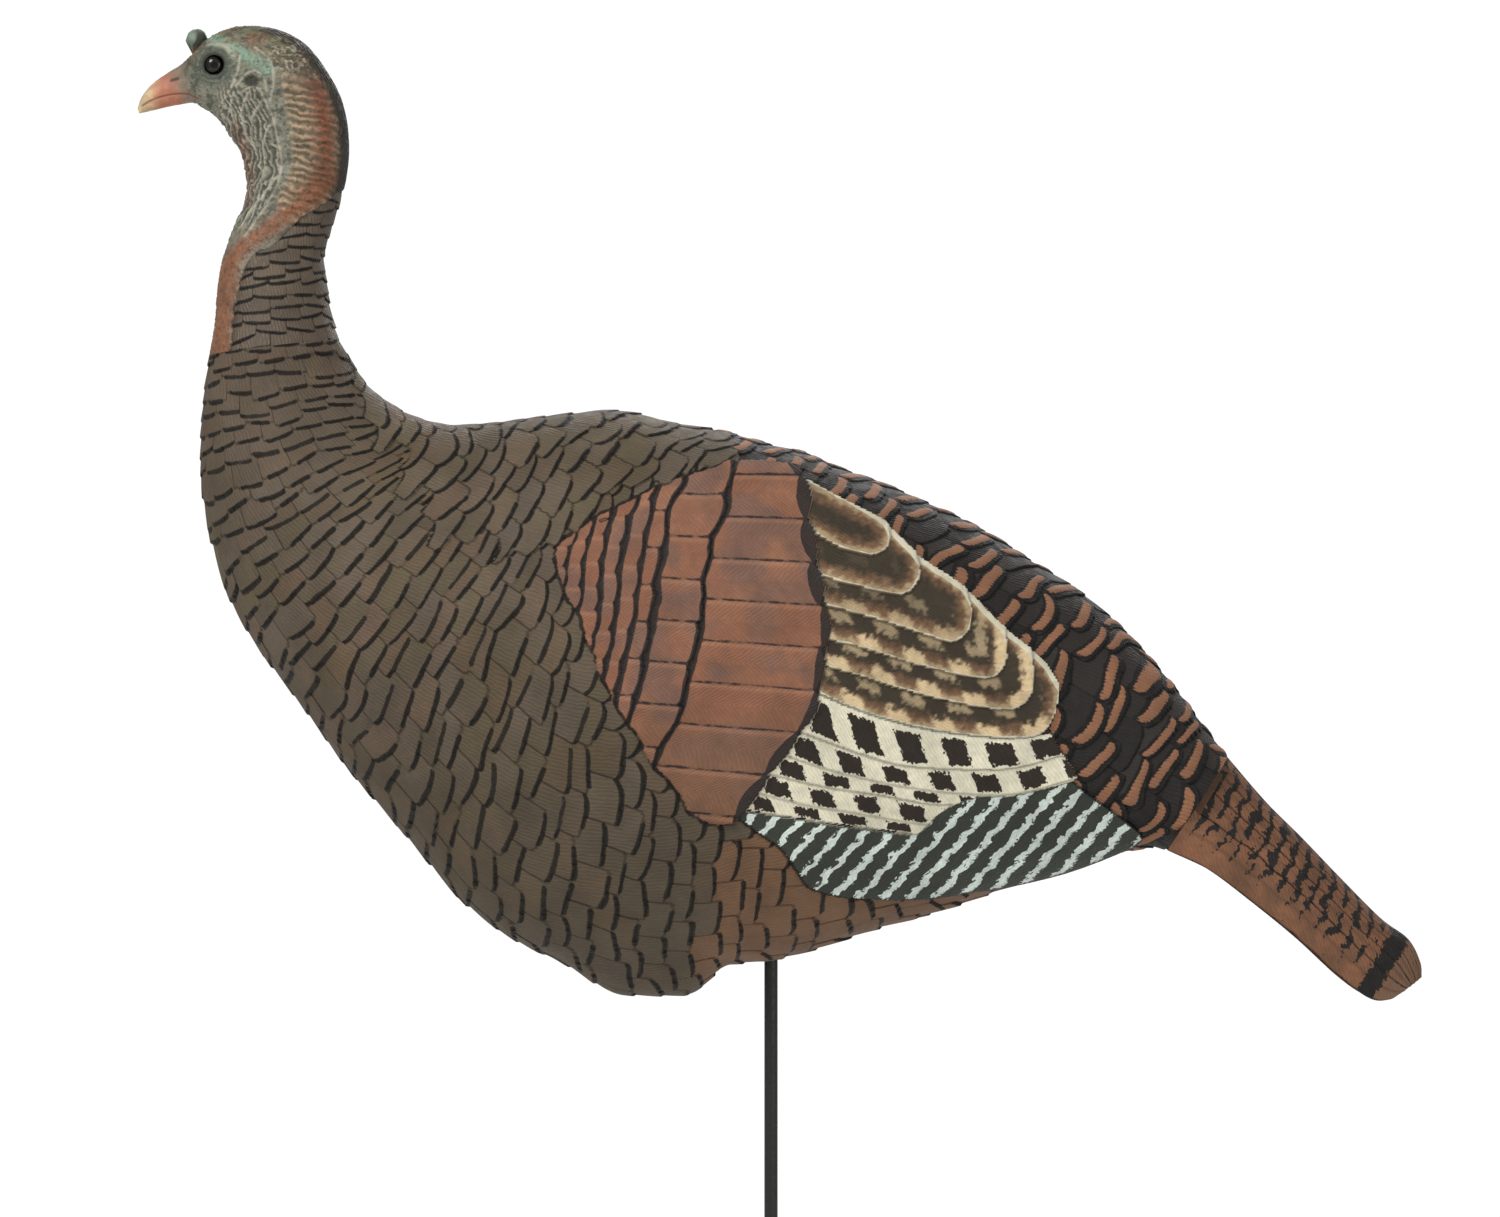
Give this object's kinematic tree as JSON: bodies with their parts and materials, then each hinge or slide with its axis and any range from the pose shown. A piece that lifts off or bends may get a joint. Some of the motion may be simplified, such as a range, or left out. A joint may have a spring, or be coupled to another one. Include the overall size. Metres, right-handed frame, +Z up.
{
  "type": "hen turkey decoy",
  "caption": "Life-size hen turkey decoy on a ground stake that pulls apart, with a hollow moulded body, a push-in head that turns, and an inner swivel that limits its turn.",
  "frame": {"origin": "on the stake's axis at ground level, where the underside of the foot step rests on the soil", "axes": "+Z up along the stake, the bird faces -X with its tail towards +X, and its left side is -Y"},
  "size_m": [0.768, 0.2202, 1.0391],
  "materials": {
    "plumage": "moulded feathers, matt paint: olive brown, with rufous, cream, black and brown wing and tail marks",
    "head_paint": "moulded wrinkled skin, matt paint: grey green, with an orange brown nape and wattle",
    "tail_paint": "moulded feathers, matt paint: brown with dark bars",
    "eye_gloss": "glossy dark brown",
    "black_steel": "satin black paint",
    "zinc_steel": "zinc plated",
    "nylon": "natural, as moulded",
    "black_plastic": "as moulded"
  },
  "bodies": {
    "stake_lower": {"stake_lower_rod": "black_steel", "stake_ferrule": "black_steel", "ferrule_pin": "zinc_steel", "foot_step": "black_steel"},
    "stake_upper": {"stake_upper_rod": "black_steel"},
    "hub": {"swivel_hub": "nylon", "limiter_pin": "zinc_steel"},
    "body": {"body_left_shell": "plumage", "body_right_shell": "plumage", "seam_dowel_1": "nylon", "seam_dowel_2": "nylon", "seam_dowel_3": "nylon", "seam_dowel_4": "nylon", "seam_dowel_5": "nylon", "tail_fan": "tail_paint", "tail_cross_pin": "zinc_steel", "stake_receiver": "black_plastic", "swivel_housing": "black_plastic", "housing_cap": "black_plastic", "thrust_washer": "nylon", "housing_screw_1": "zinc_steel", "housing_screw_2": "zinc_steel", "housing_screw_3": "zinc_steel", "neck_collar": "black_plastic"},
    "neck_ring": {"neck_bushing": "nylon"},
    "head": {"head_shell": "head_paint", "head_plug": "black_plastic", "eye_left": "eye_gloss", "eye_right": "eye_gloss"}
  },
  "joints": [
    {"name": "stake_pull_apart", "type": "slide", "parent": "stake_lower", "child": "stake_upper", "axis": [0, 0, 1], "range_m": [0, 0.08]},
    {"name": "lift_off", "type": "slide", "parent": "stake_upper", "child": "hub", "axis": [0, 0, 1], "range_m": [0, 0.24]},
    {"name": "swivel", "type": "hinge", "parent": "hub", "child": "body", "pos_m": [0, 0, 0.46], "axis": [0, 0, 1], "range_deg": [-45, 45]},
    {"name": "head_turn", "type": "hinge", "parent": "body", "child": "neck_ring", "pos_m": [-0.298, 0, 0.6365], "axis": [-0.1176, 0, 0.9931], "range_deg": [-35, 35]},
    {"name": "head_pull", "type": "slide", "parent": "neck_ring", "child": "head", "axis": [-0.1176, 0, 0.9931], "range_m": [0, 0.07]}
  ]
}
